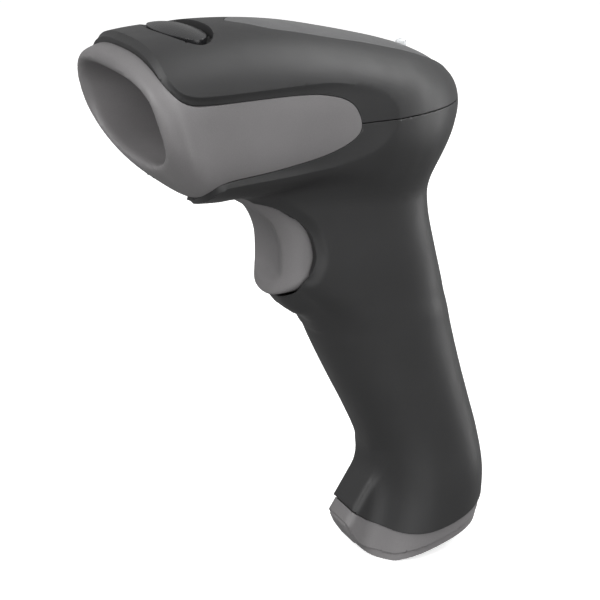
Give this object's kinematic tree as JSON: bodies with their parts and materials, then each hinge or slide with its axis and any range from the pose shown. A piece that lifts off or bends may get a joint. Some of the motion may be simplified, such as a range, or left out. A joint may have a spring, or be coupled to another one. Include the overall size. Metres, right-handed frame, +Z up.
{
  "type": "handheld barcode scanner",
  "caption": "Gun-shaped handheld barcode scanner with a wide raked nose, swinging finger trigger, laser scan engine and a cable socket in the foot of its grip.",
  "frame": {"origin": "middle of the grip, inside it, at the height where the palm closes", "axes": "+Z up towards the head, -Y the way the nose points, +X across the body to the scanner's own left"},
  "size_m": [0.061, 0.1174, 0.1669],
  "materials": {
    "shell": "fine matt texture, dark grey",
    "bezel": "fine matt texture, mid grey",
    "satin": "satin, mid grey",
    "gloss_black": "polished black",
    "black_plastic": "matt black",
    "clear_plastic": "clear, polished",
    "window_plastic": "clear red filter, polished",
    "filter_plastic": "dark red filter",
    "rubber": "matt black",
    "board": "green solder resist over laminate",
    "ribbon": "amber film",
    "zinc": "die-cast zinc, dull grey",
    "steel": "bright zinc plate",
    "brass": "turned",
    "copper": "enamelled copper winding",
    "mirror": "front-silvered glass",
    "gold": "gold plated"
  },
  "bodies": {
    "scanner_body": {"top_cover": "shell", "lower_housing": "shell", "nose_bezel": "bezel", "base_cap": "bezel", "top_inlay": "satin", "badge_plate": "gloss_black", "status_light_pipe": "clear_plastic", "cover_screw": "steel", "cap_screw": "steel", "trigger_pin": "steel", "trigger_spring": "steel", "scan_window": "window_plastic", "window_gasket": "rubber", "engine_chassis": "zinc", "laser_module": "brass", "collector_mirror": "mirror", "mirror_pin": "steel", "drive_coil": "copper", "photodiode_board": "board", "photodiode_filter": "filter_plastic", "engine_board": "board", "engine_screw_left": "steel", "engine_screw_right": "steel", "main_board": "board", "decoder_chip": "black_plastic", "beeper": "black_plastic", "status_led": "clear_plastic", "main_connector": "satin", "board_screw_left": "steel", "board_screw_right": "steel", "board_ribbon": "ribbon", "handle_board": "board", "trigger_switch": "black_plastic", "board_header": "black_plastic", "handle_board_screw": "steel", "cable_socket": "black_plastic", "socket_contacts": "gold", "socket_board": "board"},
    "trigger_lever": {"trigger": "bezel"},
    "plunger": {"switch_plunger": "satin"},
    "mirror_rotor": {"scan_mirror": "mirror", "mirror_holder": "black_plastic", "mirror_magnet": "steel"}
  },
  "joints": [
    {"name": "trigger_pull", "type": "hinge", "parent": "scanner_body", "child": "trigger_lever", "pos_m": [0, -0.0388, 0.0638], "axis": [1, 0, 0], "range_deg": [0, 5], "stiffness_Nm_per_rad": 0.9, "springref_deg": -9.74, "deforming": ["trigger_spring"]},
    {"name": "switch_press", "type": "slide", "parent": "scanner_body", "child": "plunger", "axis": [0, 0.9367, 0.3502], "range_m": [0, 0.0018]},
    {"name": "mirror_swing", "type": "hinge", "parent": "scanner_body", "child": "mirror_rotor", "pos_m": [-0.00684, -0.03646, 0.0856], "axis": [0, 0, 1], "range_deg": [-8, 8], "stiffness_Nm_per_rad": 0.002}
  ],
  "couplings": [
    {"joint": "switch_press", "follows": "trigger_pull", "m_per_rad": 0.02}
  ]
}
